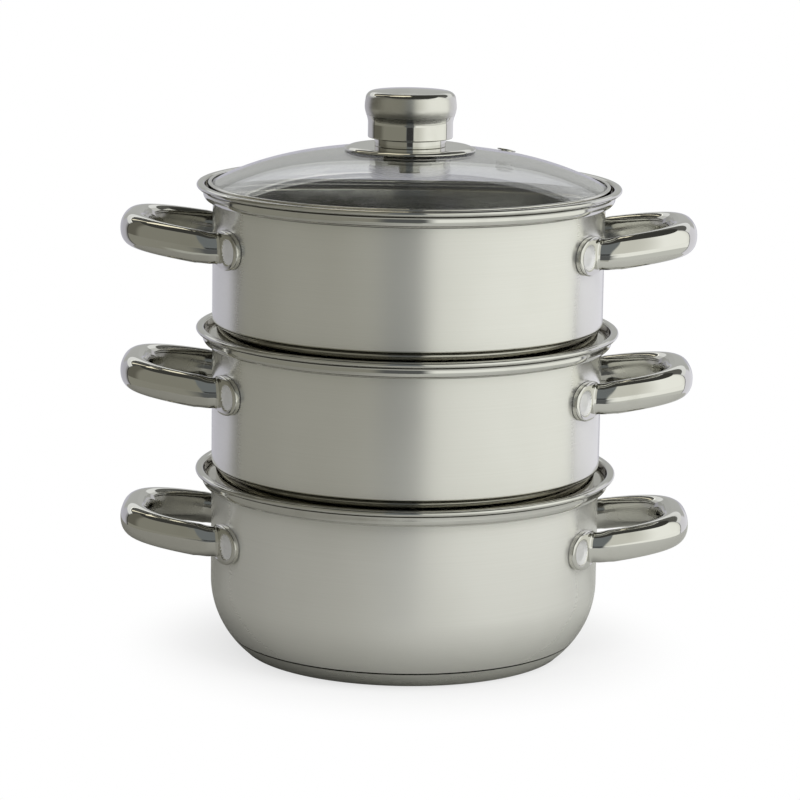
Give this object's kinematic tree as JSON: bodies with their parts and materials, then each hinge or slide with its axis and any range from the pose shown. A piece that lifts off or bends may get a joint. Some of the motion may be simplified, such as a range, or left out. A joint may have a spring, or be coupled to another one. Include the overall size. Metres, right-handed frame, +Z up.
{
  "type": "steamer pot",
  "caption": "Stacking steamer: a casserole pan with a sandwich base, perforated tiers with side handles, and a domed glass lid with a steel band, vent and knob.",
  "frame": {"origin": "on the worktop, under the middle of the pan's base", "axes": "+Z up through the lid's knob; the handles stand out along +X and -X; the front of the pot faces -Y"},
  "size_m": [0.264, 0.1948, 0.261],
  "materials": {
    "brushed_steel": "fine satin brushing round the body",
    "polished_steel": "mirror polished",
    "bare_aluminium": "bare",
    "zinc_steel": "plain",
    "black_phenolic": "moulded",
    "grey_silicone": "matt",
    "clear_glass": "clear tempered"
  },
  "bodies": {
    "pan": {"pan_shell": "brushed_steel", "pan_base_core": "bare_aluminium", "pan_base_cap": "brushed_steel", "pan_handle_left": "polished_steel", "pan_handle_right": "polished_steel"},
    "middle_steamer": {"middle_steamer_shell": "brushed_steel", "middle_handle_left": "polished_steel", "middle_handle_right": "polished_steel"},
    "top_steamer": {"top_steamer_shell": "brushed_steel", "top_handle_left": "polished_steel", "top_handle_right": "polished_steel"},
    "lid": {"lid_glass": "clear_glass", "lid_rim_band": "polished_steel", "lid_vent_eyelet": "polished_steel", "lid_vent_washer": "zinc_steel", "knob_disc": "polished_steel", "knob_neck_ring": "polished_steel", "knob_cap": "polished_steel", "knob_core": "black_phenolic", "knob_screw": "zinc_steel", "knob_washer": "zinc_steel", "knob_gasket": "grey_silicone"}
  },
  "joints": [
    {"name": "middle_lift", "type": "slide", "parent": "pan", "child": "middle_steamer", "axis": [0, 0, 1], "range_m": [0, 0.08]},
    {"name": "top_lift", "type": "slide", "parent": "middle_steamer", "child": "top_steamer", "axis": [0, 0, 1], "range_m": [0, 0.08]},
    {"name": "lid_lift", "type": "slide", "parent": "top_steamer", "child": "lid", "axis": [0, 0, 1], "range_m": [0, 0.08]}
  ]
}
